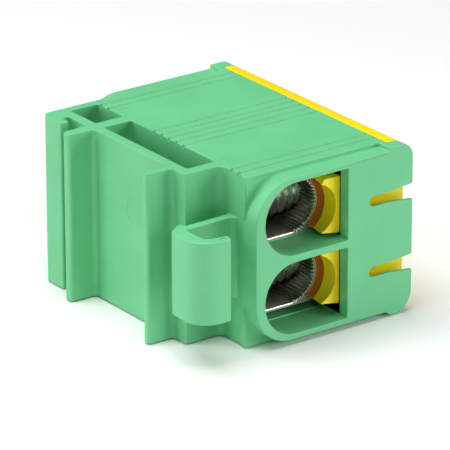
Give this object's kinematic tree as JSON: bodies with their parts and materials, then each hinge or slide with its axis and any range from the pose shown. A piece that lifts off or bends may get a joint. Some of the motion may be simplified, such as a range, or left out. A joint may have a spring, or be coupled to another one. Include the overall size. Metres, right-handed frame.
{
  "type": "din rail terminal block",
  "caption": "Two-pole rail-mounted feed-through terminal block with screw clamps, wire entries in collars at both ends, slotted end walls, a cover and a spring clip for a top-hat rail.",
  "frame": {"origin": "bottom centre of the bounding box, the block lying on its side wall", "axes": "+X along the conductors, towards the end that the rail clip is at; +Y from the rail to the screw side; +Z along the rail"},
  "size_m": [0.052, 0.0448, 0.0303],
  "materials": {
    "green_polyamide": "satin moulded",
    "yellow_polyamide": "satin moulded",
    "tinned_aluminium": "tin plated, ribbed wire bore",
    "zinc_plated_steel": "zinc plated thread"
  },
  "bodies": {
    "housing": {"housing": "green_polyamide", "cover": "yellow_polyamide", "wire_guide_lower_far": "yellow_polyamide", "wire_guide_lower_near": "yellow_polyamide", "wire_guide_upper_far": "yellow_polyamide", "wire_guide_upper_near": "yellow_polyamide", "clamp_body_lower": "tinned_aluminium", "clamp_body_upper": "tinned_aluminium"},
    "rail_clip": {"rail_clip": "green_polyamide"},
    "pressure_pad_lower_far": {"pressure_pad_lower_far": "tinned_aluminium"},
    "clamp_screw_lower_far": {"clamp_screw_lower_far": "zinc_plated_steel"},
    "pressure_pad_lower_near": {"pressure_pad_lower_near": "tinned_aluminium"},
    "clamp_screw_lower_near": {"clamp_screw_lower_near": "zinc_plated_steel"},
    "pressure_pad_upper_far": {"pressure_pad_upper_far": "tinned_aluminium"},
    "clamp_screw_upper_far": {"clamp_screw_upper_far": "zinc_plated_steel"},
    "pressure_pad_upper_near": {"pressure_pad_upper_near": "tinned_aluminium"},
    "clamp_screw_upper_near": {"clamp_screw_upper_near": "zinc_plated_steel"}
  },
  "joints": [
    {"name": "rail_clip_bend", "type": "hinge", "parent": "housing", "child": "rail_clip", "pos_m": [0.01758, -0.01002, 0.01515], "axis": [0, 0, 1], "range_deg": [0, 8], "stiffness_Nm_per_rad": 0.8},
    {"name": "pressure_pad_lower_far_travel", "type": "slide", "parent": "housing", "child": "pressure_pad_lower_far", "axis": [0, 1, 0], "range_m": [-0.0027, 0.0045]},
    {"name": "clamp_screw_lower_far_turn", "type": "hinge", "parent": "pressure_pad_lower_far", "child": "clamp_screw_lower_far", "pos_m": [-0.01095, 0.01397, 0.0088], "axis": [0, 1, 0], "range_deg": [-648, 1080]},
    {"name": "pressure_pad_lower_near_travel", "type": "slide", "parent": "housing", "child": "pressure_pad_lower_near", "axis": [0, 1, 0], "range_m": [-0.0027, 0.0045]},
    {"name": "clamp_screw_lower_near_turn", "type": "hinge", "parent": "pressure_pad_lower_near", "child": "clamp_screw_lower_near", "pos_m": [0.00985, 0.01397, 0.0088], "axis": [0, 1, 0], "range_deg": [-648, 1080]},
    {"name": "pressure_pad_upper_far_travel", "type": "slide", "parent": "housing", "child": "pressure_pad_upper_far", "axis": [0, 1, 0], "range_m": [-0.0027, 0.0045]},
    {"name": "clamp_screw_upper_far_turn", "type": "hinge", "parent": "pressure_pad_upper_far", "child": "clamp_screw_upper_far", "pos_m": [-0.01095, 0.01397, 0.0215], "axis": [0, 1, 0], "range_deg": [-648, 1080]},
    {"name": "pressure_pad_upper_near_travel", "type": "slide", "parent": "housing", "child": "pressure_pad_upper_near", "axis": [0, 1, 0], "range_m": [-0.0027, 0.0045]},
    {"name": "clamp_screw_upper_near_turn", "type": "hinge", "parent": "pressure_pad_upper_near", "child": "clamp_screw_upper_near", "pos_m": [0.00985, 0.01397, 0.0215], "axis": [0, 1, 0], "range_deg": [-648, 1080]}
  ],
  "couplings": [
    {"joint": "clamp_screw_lower_far_turn", "follows": "pressure_pad_lower_far_travel", "rad_per_m": 4188.7},
    {"joint": "clamp_screw_lower_near_turn", "follows": "pressure_pad_lower_near_travel", "rad_per_m": 4188.7},
    {"joint": "clamp_screw_upper_far_turn", "follows": "pressure_pad_upper_far_travel", "rad_per_m": 4188.7},
    {"joint": "clamp_screw_upper_near_turn", "follows": "pressure_pad_upper_near_travel", "rad_per_m": 4188.7}
  ]
}
